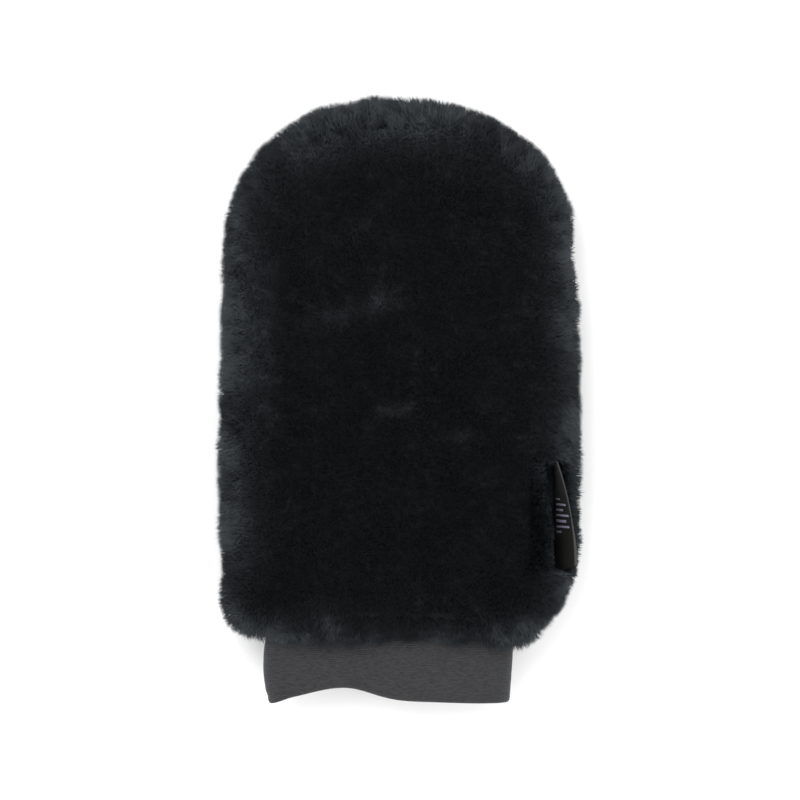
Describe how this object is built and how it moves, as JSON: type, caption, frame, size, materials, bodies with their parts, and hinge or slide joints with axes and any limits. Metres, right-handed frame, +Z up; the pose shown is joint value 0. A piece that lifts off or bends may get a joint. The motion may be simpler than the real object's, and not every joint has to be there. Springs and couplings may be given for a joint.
{
  "type": "wash mitt",
  "caption": "Car wash mitt of long black pile with a lined hand pocket, a knitted cuff folded double and a flag label in the side seam.",
  "frame": {"origin": "middle of the outer box on the surface that the mitt lies on, back panel down", "axes": "+Z up out of the front panel, +Y towards the fingertips, -Y towards the cuff, +X to the side seam that holds the label"},
  "size_m": [0.1634, 0.2754, 0.049],
  "materials": {
    "pile": "matte",
    "backing_knit": "matte",
    "lining_cloth": "matte",
    "sewing_thread": "satin",
    "cuff_knit": "matte",
    "elastic_yarn": "matte",
    "label_tape": "satin"
  },
  "bodies": {
    "mitt": {"front_pile": "pile", "back_pile": "pile", "front_backing": "backing_knit", "back_backing": "backing_knit", "front_lining": "lining_cloth", "back_lining": "lining_cloth", "perimeter_needle_thread": "sewing_thread", "perimeter_bobbin_thread": "sewing_thread", "cuff_rib": "cuff_knit", "cuff_elastic_yarns": "elastic_yarn", "cuff_join_thread": "sewing_thread"},
    "label": {"side_label": "label_tape"}
  },
  "joints": [
    {"name": "label_flap", "type": "hinge", "parent": "mitt", "child": "label", "pos_m": [0.0707, -0.0528, 0.0255], "axis": [0, 1, 0], "range_deg": [-22, 26], "stiffness_Nm_per_rad": 0.0008}
  ]
}
